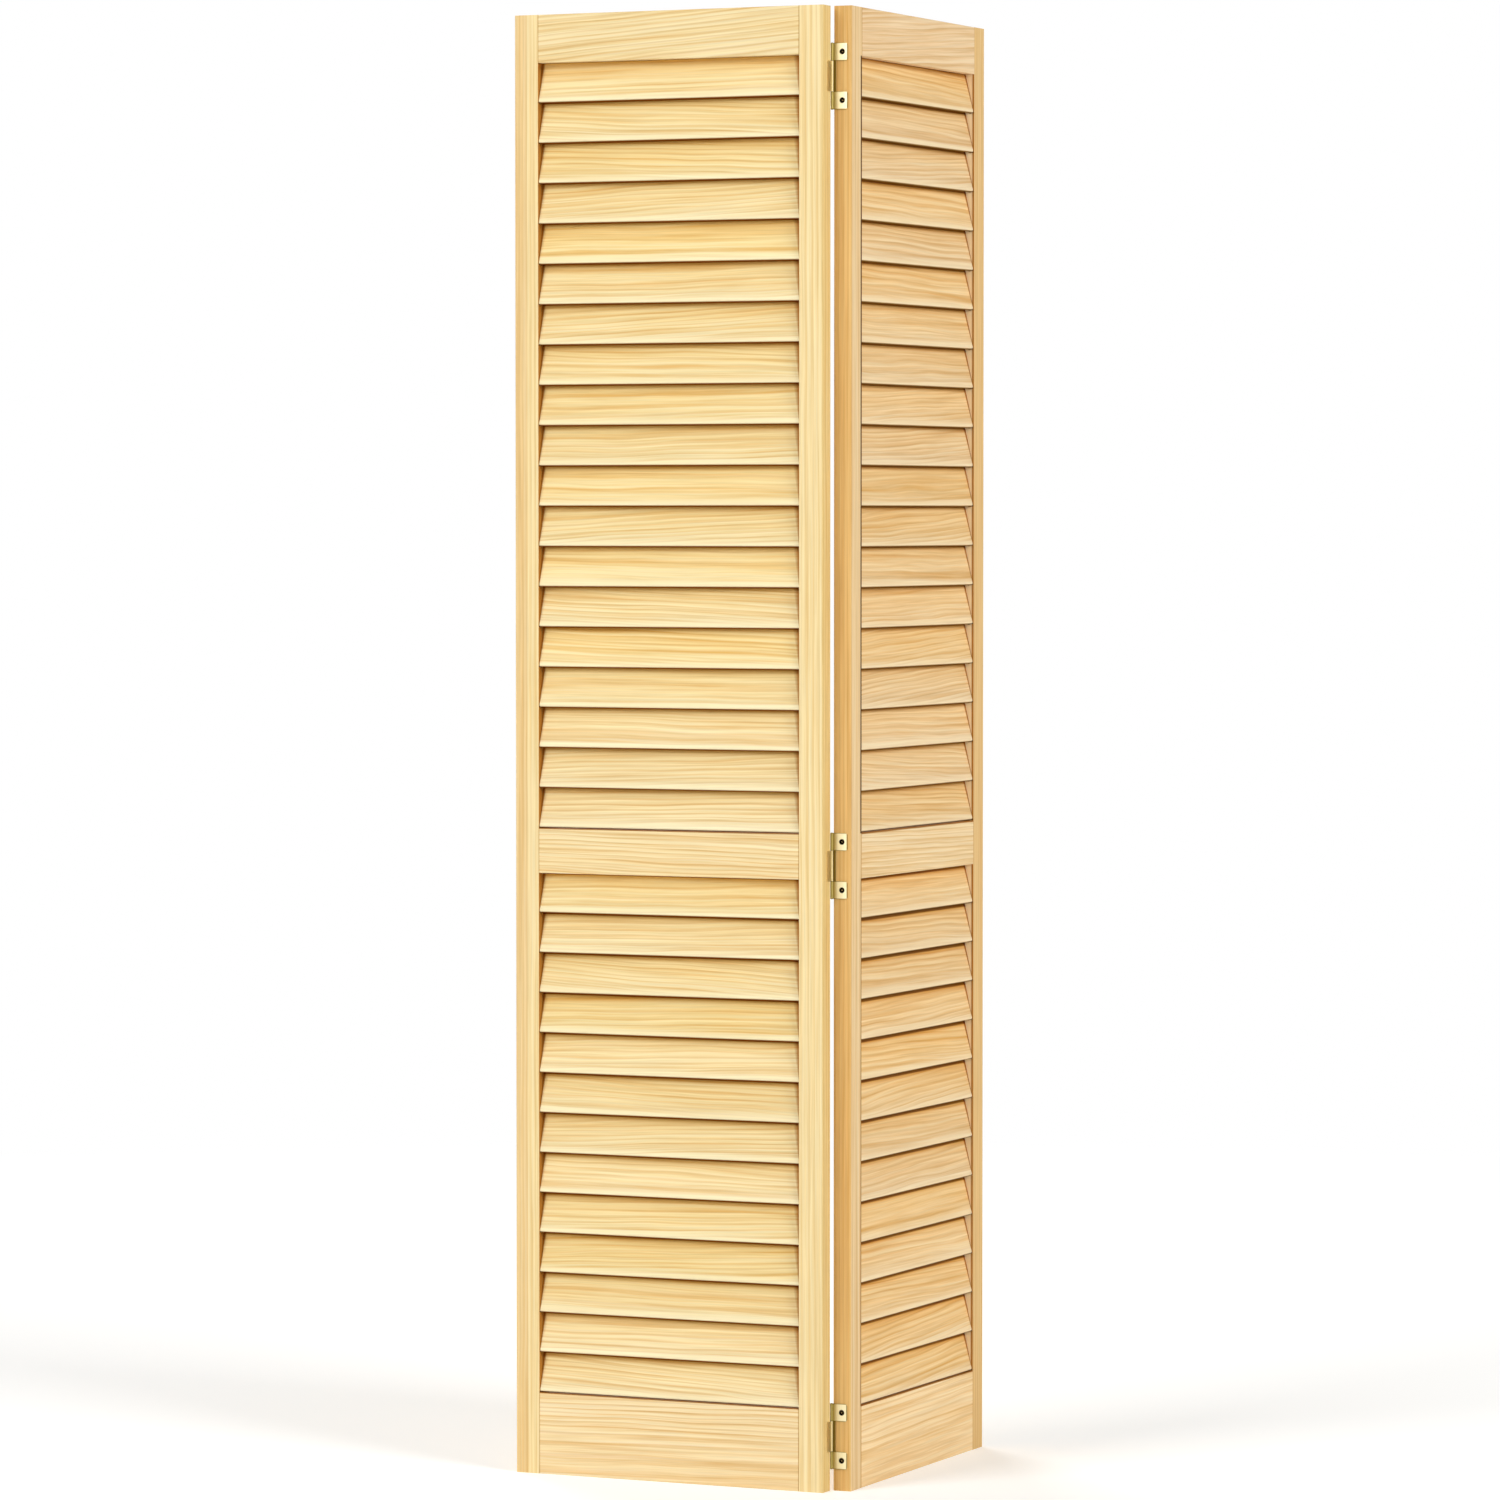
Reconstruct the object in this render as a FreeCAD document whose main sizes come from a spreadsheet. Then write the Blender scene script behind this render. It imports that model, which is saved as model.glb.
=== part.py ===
import FreeCAD, Part
import math
import os

import Sketcher
from FreeCAD import Placement, Rotation, Vector

# A pair of louvred pine door leaves, hinged edge to edge and standing half folded.
# Each leaf is two stiles, three rails and two bays of slats. Three flush hinges join the leaves.
# Every piece is drawn in the frame of its own leaf: the hinge pins stand on the Z axis, the
# front of the door looks along -Y, the left leaf runs along -X and the right leaf along +X.
# The right leaf is then turned about the pins, and both are moved so that the floor under
# the middle of the pair is the origin.

# Lengths in millimetres and angles in degrees
SIZES = {
    "door_height": 1981,
    "leaf_width": 457,
    "leaf_thickness": 25.4,
    "stile_width": 35,
    "top_rail_height": 65,
    "mid_rail_height": 61,
    "mid_rail_centre": 850,
    "bottom_rail_height": 111,
    "stile_edge_radius": 1,
    "joint_chamfer": 0.6,
    "slat_pitch": 54.5,
    "slat_width": 63,
    "slat_thickness": 7,
    "slat_tilt": 13,
    "slat_lift": 0.5,
    "slat_forward": 1,
    "slot_depth": 7,
    "slot_clearance": 0.25,
    "leaf_gap": 2,
    "fold_angle": 90,
    "hinge_height": 88,
    "hinge_tab_height": 23.5,
    "hinge_reach": 20,
    "hinge_spine": 3,
    "inner_reach": 12,
    "plate_thickness": 1.2,
    "plate_corner_radius": 3,
    "knuckle_radius": 2,
    "knuckle_clearance": 0.25,
    "pin_radius": 1.2,
    "pin_clearance": 0.05,
    "pin_proud": 0.6,
    "pin_chamfer": 0.4,
    "screw_hole_radius": 3.3,
    "screw_line": 12.5,
    "inner_screw_line": 6.5,
    "inner_screw_spacing": 22,
    "top_hinge_drop": 93,
    "mid_hinge_drop": 12.5,
    "bottom_hinge_rise": 73,
    "pivot_bore_radius": 4.75,
    "pivot_bore_depth": 38,
}

# Distances that follow from the sizes
DERIVED = {
    "pin_setback": "Sizes.knuckle_radius + Sizes.knuckle_clearance",
    "leaf_mid_plane": "-(pin_setback + Sizes.leaf_thickness / 2)",
    "slat_plane": "leaf_mid_plane - Sizes.slat_forward",
    "leaf_start": "Sizes.leaf_gap / 2",
    "leaf_middle": "leaf_start + Sizes.leaf_width / 2",
    "hinge_stile_middle": "leaf_start + Sizes.stile_width / 2",
    "outer_stile_middle": "leaf_start + Sizes.leaf_width - Sizes.stile_width / 2",
    "hinge_stile_inside": "leaf_start + Sizes.stile_width",
    "outer_stile_inside": "leaf_start + Sizes.leaf_width - Sizes.stile_width",
    "origin_shift": "(leaf_start + Sizes.leaf_width - pin_setback - Sizes.leaf_thickness) / 2",
    "rail_length": "Sizes.leaf_width - 2 * Sizes.stile_width",
    "slat_length": "rail_length + 2 * (Sizes.slot_depth - Sizes.slot_clearance)",
    "slot_width": "Sizes.slat_width + 2 * Sizes.slot_clearance",
    "slot_thickness": "Sizes.slat_thickness + 2 * Sizes.slot_clearance",
    "slat_straight": "Sizes.slat_width - Sizes.slat_thickness",
    "slat_rise": "slat_straight * cos(Sizes.slat_tilt) + Sizes.slat_thickness",
    "lower_floor": "Sizes.bottom_rail_height",
    "lower_bay": "Sizes.mid_rail_centre - Sizes.mid_rail_height / 2 - lower_floor",
    "upper_floor": "Sizes.mid_rail_centre + Sizes.mid_rail_height / 2",
    "upper_bay": "Sizes.door_height - Sizes.top_rail_height - upper_floor",
    "lower_count": "floor(lower_bay / Sizes.slat_pitch + 0.1)",
    "upper_count": "floor(upper_bay / Sizes.slat_pitch + 0.1)",
    "lower_pitch": "lower_bay / lower_count",
    "upper_pitch": "upper_bay / upper_count",
    "lower_first": "lower_floor + Sizes.slat_lift + slat_rise / 2",
    "upper_first": "upper_floor + Sizes.slat_lift + slat_rise / 2",
    "lower_last": "lower_first + (lower_count - 1) * lower_pitch",
    "upper_last": "upper_first + (upper_count - 1) * upper_pitch",
    "plate_width": "pin_setback + Sizes.hinge_reach",
    "notch_height": "Sizes.hinge_height - 2 * Sizes.hinge_tab_height",
    "notch_width": "Sizes.hinge_reach - Sizes.hinge_spine",
    "inner_plate_width": "pin_setback + Sizes.inner_reach",
    "inner_plate_height": "notch_height - 2 * Sizes.knuckle_clearance",
    "screw_setback": "-(pin_setback + Sizes.screw_line)",
    "inner_screw_setback": "-(pin_setback + Sizes.inner_screw_line)",
    "tab_spacing": "Sizes.hinge_height - Sizes.hinge_tab_height",
    "top_hinge_level": "Sizes.door_height - Sizes.top_hinge_drop",
    "middle_hinge_level": "Sizes.mid_rail_centre - Sizes.mid_hinge_drop",
    "bottom_hinge_level": "Sizes.bottom_hinge_rise",
}

UPRIGHT = Vector(0, 0, 1)
START, END, CENTRE = range(1, 4)
VERTICAL_AXIS, HORIZONTAL_AXIS = range(-2, 0)
ORIGIN_POINT = (HORIZONTAL_AXIS, START)

doc = FreeCAD.newDocument("LouvredDoor")


def fill_sheet(name, cells, lead):
    """Writes one row for each value, with the value's name as its alias."""
    sheet = doc.addObject("Spreadsheet::Sheet", name)
    for row, (alias, content) in enumerate(cells.items(), start=1):
        sheet.set(f"A{row}", alias)
        sheet.set(f"B{row}", f"{lead}{content}")
        sheet.setAlias(f"B{row}", alias)
    doc.recompute()
    return sheet


fill_sheet("Sizes", SIZES, "")
fill_sheet("Derived", DERIVED, "=")


def new_body(label, side, level="0"):
    """Starts a piece of the left or right leaf, with its own origin at a level on the pin axis."""
    body = doc.addObject("PartDesign::Body", label)
    body.Placement = Placement(Vector(), Rotation(UPRIGHT, 1))
    body.setExpression("Placement.Base.x", "Derived.origin_shift")
    body.setExpression("Placement.Base.y", "-Derived.origin_shift")
    body.setExpression("Placement.Base.z", level)
    body.setExpression("Placement.Rotation.Angle", "Sizes.fold_angle" if side == "right" else "0")
    return body


def origin_feature(body, role):
    """Finds one of a body's own origin planes or axes."""
    return next(item for item in body.Origin.OriginFeatures if item.Role == role)


def sketch_on(body, name, plane, across="0", along="0", out="0", turn="0"):
    """Attaches a sketch to an origin plane, shifted in the plane and out of it, and turned."""
    sketch = body.newObject("Sketcher::SketchObject", name)
    sketch.AttachmentSupport = [(origin_feature(body, plane), "")]
    sketch.MapMode = "FlatFace"
    sketch.AttachmentOffset = Placement(Vector(), Rotation(UPRIGHT, 1))
    sketch.setExpression("AttachmentOffset.Base.x", across)
    sketch.setExpression("AttachmentOffset.Base.y", along)
    sketch.setExpression("AttachmentOffset.Base.z", out)
    sketch.setExpression("AttachmentOffset.Rotation.Angle", turn)
    return sketch


def bind(sketch, name, expression, kind, *where):
    """Adds a named dimension to a sketch and ties it to the sheets."""
    index = sketch.addConstraint(Sketcher.Constraint(kind, *where))
    sketch.renameConstraint(index, name)
    sketch.setExpression(f"Constraints.{name}", expression)


def draw_rectangle(sketch, width, height):
    """Draws a rectangle centred on the sketch's own origin."""
    right, top = 10, 20
    corners = [(-right, -top), (right, -top), (right, top), (-right, top)]
    for (x_from, y_from), (x_to, y_to) in zip(corners, corners[1:] + corners[:1]):
        sketch.addGeometry(Part.LineSegment(Vector(x_from, y_from, 0), Vector(x_to, y_to, 0)))
    for line in range(4):
        sketch.addConstraint(Sketcher.Constraint("Coincident", line, END, (line + 1) % 4, START))
        sketch.addConstraint(Sketcher.Constraint("Vertical" if line % 2 else "Horizontal", line))
    sketch.addConstraint(Sketcher.Constraint("Symmetric", 0, START, 2, START, *ORIGIN_POINT))
    bind(sketch, "Width", width, "DistanceX", 0, START, 0, END, 2 * right)
    bind(sketch, "Height", height, "DistanceY", 1, START, 1, END, 2 * top)


def draw_slat_section(sketch):
    """Draws the end of a slat: a board with a fully rounded nose below and a square edge above."""
    half, reach = 4, 30
    sketch.addGeometry(Part.LineSegment(Vector(half, -reach, 0), Vector(half, reach, 0)))
    sketch.addGeometry(Part.LineSegment(Vector(half, reach, 0), Vector(-half, reach, 0)))
    sketch.addGeometry(Part.LineSegment(Vector(-half, reach, 0), Vector(-half, -reach, 0)))
    nose = Part.Circle(Vector(0, -reach, 0), UPRIGHT, half)
    sketch.addGeometry(Part.ArcOfCircle(nose, math.pi, 2 * math.pi))
    right, back_edge, left, round_nose = range(4)
    sketch.addConstraint(Sketcher.Constraint("Coincident", right, END, back_edge, START))
    sketch.addConstraint(Sketcher.Constraint("Coincident", back_edge, END, left, START))
    sketch.addConstraint(Sketcher.Constraint("Tangent", left, END, round_nose, START))
    sketch.addConstraint(Sketcher.Constraint("Tangent", round_nose, END, right, START))
    sketch.addConstraint(Sketcher.Constraint("Vertical", right))
    sketch.addConstraint(Sketcher.Constraint("Vertical", left))
    sketch.addConstraint(Sketcher.Constraint("Horizontal", back_edge))
    sketch.addConstraint(Sketcher.Constraint("PointOnObject", round_nose, CENTRE, VERTICAL_AXIS))
    bind(sketch, "NoseRadius", "Sizes.slat_thickness / 2", "Radius", round_nose, half)
    nose_to_middle = (round_nose, CENTRE, *ORIGIN_POINT)
    middle_to_back = (*ORIGIN_POINT, right, END)
    bind(sketch, "NoseCentre", "Derived.slat_straight / 2", "DistanceY", *nose_to_middle, reach)
    bind(sketch, "BackEdge", "Sizes.slat_width / 2", "DistanceY", *middle_to_back, reach)


def draw_circle(sketch, radius):
    """Draws a circle centred on the sketch's own origin."""
    start_radius = 3
    sketch.addGeometry(Part.Circle(Vector(), UPRIGHT, start_radius))
    sketch.addConstraint(Sketcher.Constraint("Coincident", 0, CENTRE, *ORIGIN_POINT))
    bind(sketch, "Radius", radius, "Radius", 0, start_radius)


def pad(body, name, sketch, length, both_ways=False):
    """Thickens a sketch into solid, along its normal or evenly both ways."""
    feature = body.newObject("PartDesign::Pad", name)
    feature.Profile = sketch
    feature.Midplane = both_ways
    feature.setExpression("Length", length)
    doc.recompute()
    return feature


def pocket(body, name, sketch, length, reverse=False, both_ways=False, must_cut=True):
    """Cuts a sketch into the body, against its normal, along it, or evenly both ways."""
    before = body.Shape.Volume
    feature = body.newObject("PartDesign::Pocket", name)
    feature.Profile = sketch
    feature.Reversed = reverse
    feature.Midplane = both_ways
    feature.setExpression("Length", length)
    doc.recompute()
    if must_cut and body.Shape.Volume >= before:
        raise RuntimeError(f"{body.Label}: {name} cuts nothing")
    return feature


def repeat_upwards(body, name, feature, spacing, count):
    """Repeats a feature along the body's upright axis."""
    row = body.newObject("PartDesign::LinearPattern", name)
    row.Originals = [feature]
    row.Direction = (origin_feature(body, "Z_Axis"), [""])
    row.Mode = "Spacing"
    row.setExpression("Offset", spacing)
    row.setExpression("Occurrences", count)
    body.Tip = row
    doc.recompute()
    return row


def edges_where(feature, test):
    """Names the edges of a feature whose middle point and direction pass a test."""
    names = []
    for index, edge in enumerate(feature.Shape.Edges, start=1):
        middle = edge.valueAt((edge.FirstParameter + edge.LastParameter) / 2)
        direction = edge.tangentAt(edge.FirstParameter)
        if test(middle, direction, edge):
            names.append(f"Edge{index}")
    return names


def ease(body, name, kind, feature, edge_names, size):
    """Takes the sharpness off the named edges of a feature, with a Fillet or a Chamfer."""
    eased = body.newObject(f"PartDesign::{kind}", name)
    eased.Base = (feature, edge_names)
    eased.setExpression("Radius" if kind == "Fillet" else "Size", size)
    doc.recompute()
    return eased


def runs_along(axis):
    """Makes a test for straight edges that run along one axis."""
    return lambda middle, direction, edge: abs(direction.dot(axis)) > 0.999


def slat_sketch(body, name, level, out):
    """Places a sketch across a slat, tilted as the slat is, at a level in the leaf."""
    return sketch_on(body, name, "YZ_Plane", "Derived.slat_plane", level, out, "-Sizes.slat_tilt")


def housing_sketch(body, name, level, out):
    """Draws the slot that takes a slat, with its clearance all round."""
    sketch = slat_sketch(body, name, level, out)
    draw_rectangle(sketch, "Derived.slot_thickness", "Derived.slot_width")
    return sketch


def make_stile(side, role):
    """An upright with a sloping slot for the end of every slat, and pivot bores if it is outermost."""
    body = new_body(f"{side}_{role}_stile", side)
    sign = "-" if side == "left" else ""
    middle = f"{sign}Derived.{role}_stile_middle"
    inside = f"{sign}Derived.{role}_stile_inside"
    section = sketch_on(body, "Section", "XY_Plane", middle, "Derived.leaf_mid_plane")
    draw_rectangle(section, "Sizes.stile_width", "Sizes.leaf_thickness")
    post = pad(body, "Post", section, "Sizes.door_height")
    slots_face_right = (side == "left") == (role == "outer")
    centre = post.Shape.BoundBox.Center.x
    upright = runs_along(UPRIGHT)

    def on_slot_side(middle_point, direction, edge):
        return upright(middle_point, direction, edge) and (middle_point.x > centre) == slots_face_right

    def on_far_side(middle_point, direction, edge):
        return upright(middle_point, direction, edge) and (middle_point.x > centre) != slots_face_right

    far_edges = edges_where(post, on_far_side)
    rounded = ease(body, "RoundedOutside", "Fillet", post, far_edges, "Sizes.stile_edge_radius")
    slot_edges = edges_where(rounded, on_slot_side)
    ease(body, "EasedInside", "Chamfer", rounded, slot_edges, "Sizes.joint_chamfer")
    for bay in ("Lower", "Upper"):
        low = bay.lower()
        housing = housing_sketch(body, f"{bay}Housing", f"Derived.{low}_first", inside)
        slot = pocket(body, f"{bay}Slot", housing, "Sizes.slot_depth", reverse=not slots_face_right)
        repeat_upwards(body, f"{bay}Slots", slot, f"Derived.{low}_pitch", f"Derived.{low}_count")
    if role == "outer":
        add_pivot_bores(body, side, middle)
    return body


def add_pivot_bores(body, side, middle):
    """The pivot leaf is bored top and bottom, and the other leaf on top for its track guide."""
    top = sketch_on(body, "TopBoreCircle", "XY_Plane", middle, "Derived.leaf_mid_plane", "Sizes.door_height")
    draw_circle(top, "Sizes.pivot_bore_radius")
    pocket(body, "TopBore", top, "Sizes.pivot_bore_depth")
    if side == "left":
        bottom = sketch_on(body, "BottomBoreCircle", "XY_Plane", middle, "Derived.leaf_mid_plane")
        draw_circle(bottom, "Sizes.pivot_bore_radius")
        pocket(body, "BottomBore", bottom, "Sizes.pivot_bore_depth", reverse=True)


def make_rail(side, role, centre, height, bay_below):
    """A cross member between the stiles, grooved underneath where a bay's last slat tucks in."""
    body = new_body(f"{side}_{role}_rail", side)
    middle = "-Derived.leaf_middle" if side == "left" else "Derived.leaf_middle"
    section = sketch_on(body, "Section", "YZ_Plane", "Derived.leaf_mid_plane", centre, middle)
    draw_rectangle(section, "Sizes.leaf_thickness", height)
    board = pad(body, "Board", section, "Derived.rail_length", both_ways=True)
    long_edges = edges_where(board, runs_along(Vector(1, 0, 0)))
    ease(body, "EasedEdges", "Chamfer", board, long_edges, "Sizes.joint_chamfer")
    if bay_below:
        groove = housing_sketch(body, "Groove", f"Derived.{bay_below}_last", middle)
        pocket(body, "SlatGroove", groove, "2 * Derived.rail_length", both_ways=True, must_cut=False)
    return body


def make_slats(side, bay):
    """The row of sloping slats that fills one bay of a leaf."""
    body = new_body(f"{side}_{bay}_slats", side)
    middle = "-Derived.leaf_middle" if side == "left" else "Derived.leaf_middle"
    section = slat_sketch(body, "Section", f"Derived.{bay}_first", middle)
    draw_slat_section(section)
    slat = pad(body, "Slat", section, "Derived.slat_length", both_ways=True)
    repeat_upwards(body, "Slats", slat, f"Derived.{bay}_pitch", f"Derived.{bay}_count")
    return body


def add_knuckle(body, start, length):
    """A barrel round the pin axis, upwards from a level on it."""
    ring = sketch_on(body, "KnuckleCircle", "XY_Plane", out=start)
    draw_circle(ring, "Sizes.knuckle_radius")
    return pad(body, "Knuckle", ring, length)


def bore_for_pin(body):
    """Clears the pin's way through every knuckle of a plate."""
    circle = sketch_on(body, "PinCircle", "XY_Plane")
    draw_circle(circle, "Sizes.pin_radius + Sizes.pin_clearance")
    pocket(body, "PinBore", circle, "2 * Sizes.hinge_height", both_ways=True)


def bore_for_screws(body, setback, face_at, level, spacing):
    """Two holes for screw heads, one above the other."""
    circle = sketch_on(body, "ScrewCircle", "YZ_Plane", setback, level, face_at)
    draw_circle(circle, "Sizes.screw_hole_radius")
    hole = pocket(body, "ScrewHole", circle, "3 * Sizes.plate_thickness", both_ways=True)
    repeat_upwards(body, "ScrewHoles", hole, spacing, "2")


def round_free_corners(body, feature):
    """Rounds the corners of a hinge plate along its front edge, away from the pin."""
    front = feature.Shape.BoundBox.YMin

    def on_front(middle, direction, edge):
        return abs(direction.x) > 0.999 and abs(middle.y - front) < 0.001

    corners = edges_where(feature, on_front)
    ease(body, "RoundedCorners", "Fillet", feature, corners, "Sizes.plate_corner_radius")


def make_outer_plate(position, level):
    """The hinge plate on the right leaf: two tabs on a spine, with a knuckle at each end."""
    body = new_body(f"{position}_hinge_outer_plate", "right", level)
    near_face = "Derived.leaf_start - Sizes.plate_thickness"
    outline = sketch_on(body, "Outline", "YZ_Plane", "-Derived.plate_width / 2", "0", near_face)
    draw_rectangle(outline, "Derived.plate_width", "Sizes.hinge_height")
    pad(body, "Plate", outline, "Sizes.plate_thickness")
    notch_middle = "-(Derived.plate_width - Derived.notch_width / 2)"
    notch = sketch_on(body, "NotchOutline", "YZ_Plane", notch_middle, "0", near_face)
    draw_rectangle(notch, "Derived.notch_width", "Derived.notch_height")
    tabs = pocket(body, "Notch", notch, "Sizes.plate_thickness", reverse=True)
    round_free_corners(body, tabs)
    relief = sketch_on(body, "ReliefOutline", "YZ_Plane", "0", "0", near_face)
    draw_rectangle(relief, "2 * Derived.pin_setback", "Derived.notch_height")
    pocket(body, "KnuckleRelief", relief, "Sizes.plate_thickness", reverse=True)
    knuckle = add_knuckle(body, "-Sizes.hinge_height / 2", "Sizes.hinge_tab_height")
    repeat_upwards(body, "Knuckles", knuckle, "Derived.tab_spacing", "2")
    bore_for_pin(body)
    low_screw = "-Derived.tab_spacing / 2"
    bore_for_screws(body, "Derived.screw_setback", "Derived.leaf_start", low_screw, "Derived.tab_spacing")
    return body


def make_inner_plate(position, level):
    """The hinge plate on the left leaf, as tall as the notch that it folds into."""
    body = new_body(f"{position}_hinge_inner_plate", "left", level)
    outline = sketch_on(body, "Outline", "YZ_Plane", "-Derived.inner_plate_width / 2", "0", "-Derived.leaf_start")
    draw_rectangle(outline, "Derived.inner_plate_width", "Derived.inner_plate_height")
    plate = pad(body, "Plate", outline, "Sizes.plate_thickness")
    round_free_corners(body, plate)
    add_knuckle(body, "-Derived.inner_plate_height / 2", "Derived.inner_plate_height")
    bore_for_pin(body)
    low_screw = "-Sizes.inner_screw_spacing / 2"
    setback = "Derived.inner_screw_setback"
    bore_for_screws(body, setback, "-Derived.leaf_start", low_screw, "Sizes.inner_screw_spacing")
    return body


def make_pin(position, level):
    """The hinge pin, which stands a little proud of the knuckles, with chamfered ends."""
    body = new_body(f"{position}_hinge_pin", "right", level)
    circle = sketch_on(body, "Circle", "XY_Plane")
    draw_circle(circle, "Sizes.pin_radius")
    shank = pad(body, "Shank", circle, "Sizes.hinge_height + 2 * Sizes.pin_proud", both_ways=True)

    def is_rim(middle, direction, edge):
        return isinstance(edge.Curve, Part.Circle)

    ease(body, "ChamferedEnds", "Chamfer", shank, edges_where(shank, is_rim), "Sizes.pin_chamfer")
    return body


def make_leaf(side):
    """All the joinery of one leaf."""
    stiles = [make_stile(side, role) for role in ("outer", "hinge")]
    top_centre = "Sizes.door_height - Sizes.top_rail_height / 2"
    bottom_centre = "Sizes.bottom_rail_height / 2"
    rails = [
        make_rail(side, "top", top_centre, "Sizes.top_rail_height", "upper"),
        make_rail(side, "mid", "Sizes.mid_rail_centre", "Sizes.mid_rail_height", "lower"),
        make_rail(side, "bottom", bottom_centre, "Sizes.bottom_rail_height", None),
    ]
    slats = [make_slats(side, bay) for bay in ("upper", "lower")]
    return stiles + rails + slats


def make_hinge(position):
    """One flush hinge: its two plates and its pin."""
    level = f"Derived.{position}_hinge_level"
    return [make_outer_plate(position, level), make_inner_plate(position, level), make_pin(position, level)]


pieces = make_leaf("left") + make_leaf("right")
for hinge_position in ("top", "middle", "bottom"):
    pieces += make_hinge(hinge_position)
doc.recompute()

failed = [item.Name for item in doc.Objects if {"Invalid", "Error"} & set(item.State)]
if failed:
    raise RuntimeError(f"not built: {failed}")
for piece in pieces:
    if piece.Shape.isNull() or not piece.Shape.isValid():
        raise RuntimeError(f"bad shape: {piece.Label}")

os.makedirs("parts", exist_ok=True)
for piece in pieces:
    piece.Shape.exportStep(f"parts/{piece.Label}.step")
    print(piece.Label, len(piece.Shape.Solids), "solids", round(piece.Shape.Volume), "mm3")
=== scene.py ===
# %% [markdown]
# # A louvred folding door in clear pine
# Two louvred leaves stand half folded on three flush hinges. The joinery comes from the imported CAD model, which is the
# fixed frame here: its pieces are never moved or reshaped. This lesson adds what the CAD leaves out, which is the
# timber's figure, the brass and its screws, a studio and a camera.

# %% Load the door
import math

import bpy
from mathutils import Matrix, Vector


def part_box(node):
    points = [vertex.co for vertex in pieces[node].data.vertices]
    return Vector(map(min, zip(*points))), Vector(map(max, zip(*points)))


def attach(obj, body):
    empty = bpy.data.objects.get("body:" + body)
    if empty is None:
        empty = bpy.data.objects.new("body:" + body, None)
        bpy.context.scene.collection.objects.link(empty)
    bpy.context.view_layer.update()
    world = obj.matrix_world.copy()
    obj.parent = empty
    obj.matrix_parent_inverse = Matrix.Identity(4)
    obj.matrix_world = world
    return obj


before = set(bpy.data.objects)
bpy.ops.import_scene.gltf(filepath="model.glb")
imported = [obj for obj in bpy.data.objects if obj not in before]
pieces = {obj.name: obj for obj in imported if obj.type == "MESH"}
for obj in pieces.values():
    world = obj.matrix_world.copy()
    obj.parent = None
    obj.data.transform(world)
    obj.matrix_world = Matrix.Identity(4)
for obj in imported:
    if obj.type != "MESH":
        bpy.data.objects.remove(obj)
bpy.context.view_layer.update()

# %% [markdown]
# ## Helpers for the finishes
# Colours are written as sRGB hex, the way a paint or photo editor shows them. Blender mixes light in linear values, so
# one function turns hex to linear. A second one adds any node with its settings and links, and with the bands of a
# colour ramp where it has one, which keeps every material readable from top to bottom. A third starts a named material
# with its shader joined to the output, and a fourth puts a finished material on a piece of the CAD model.

# %% Colour and node helpers
MM = 0.001
MIX_FACTOR, MIX_FROM, MIX_TO, MIX_RESULT = 0, 6, 7, 2


def linear(code):
    values = [int(code[i:i + 2], 16) / 255 for i in (1, 3, 5)]
    return [v / 12.92 if v <= 0.04045 else ((v + 0.055) / 1.055) ** 2.4 for v in values] + [1.0]


def add_node(tree, kind, inputs=None, bands=(), **settings):
    node = tree.nodes.new(kind)
    for name, value in settings.items():
        setattr(node, name, value)
    for socket, value in (inputs or {}).items():
        if isinstance(value, bpy.types.NodeSocket):
            tree.links.new(value, node.inputs[socket])
        else:
            node.inputs[socket].default_value = value
    if bands:
        stops = node.color_ramp.elements
        stops[0].position, stops[0].color = bands[0]
        stops[1].position, stops[1].color = bands[-1]
        for spot, colour in bands[1:-1]:
            stops.new(spot).color = colour
    return node


print("linear value of pale pine:", [round(v, 3) for v in linear("#F6DCA6")])


# %% Start a finish and put it on
def start_finish(name):
    finish = bpy.data.materials.new(name)
    finish.use_nodes = True
    tree = finish.node_tree
    tree.nodes.clear()
    shader = add_node(tree, "ShaderNodeBsdfPrincipled")
    add_node(tree, "ShaderNodeOutputMaterial", {"Surface": shader.outputs["BSDF"]})
    return finish, tree, shader


def put_on(node, finish):
    pieces[node].data.materials.clear()
    pieces[node].data.materials.append(finish)
    print(finish.name, "on", node)


print("pieces to dress:", len(pieces))

# %% [markdown]
# ## How pine is drawn
# Pine is pale spring wood between narrow, more orange bands of summer wood, one pair a year. A board is sawn out of
# those rings, so the figure is a solid pattern: rings about the tree's heart, which lies beside the board and runs
# along it. A wave texture of rings round the X axis gives that, and then edges and ends show the right lines without
# more work. Its wave goes on by 20 radians for each unit, so the scale is worked out from the width of a ring. The
# pattern is pressed together along the grain, so that its wobble is slow along a board and quick across it. A trunk is
# never straight, so a slow noise first pushes the pattern aside, and the lines bend and close into arches.

# %% Bent growth rings
GRAIN_STRETCH = 0.018
BEND_ALONG, BEND_ACROSS = 180 * MM, 30 * MM
RING_WIDTH = 5.6 * MM
WAVE_RADIANS = 20


def bend_grain(tree, board, bend):
    slow = add_node(tree, "ShaderNodeMapping", {
        "Vector": board, "Scale": (1 / (BEND_ALONG * GRAIN_STRETCH), 1 / BEND_ACROSS, 1 / BEND_ACROSS)})
    drift = add_node(tree, "ShaderNodeTexNoise", {"Vector": slow.outputs["Vector"], "Scale": 1.0, "Detail": 1.0})
    aside = add_node(tree, "ShaderNodeMath", {0: drift.outputs["Fac"], 1: bend}, operation="MULTIPLY")
    push = add_node(tree, "ShaderNodeCombineXYZ", {"Y": aside.outputs["Value"]})
    bent = add_node(tree, "ShaderNodeVectorMath", {0: board, 1: push.outputs["Vector"]}, operation="ADD")
    return bent.outputs["Vector"]


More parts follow.
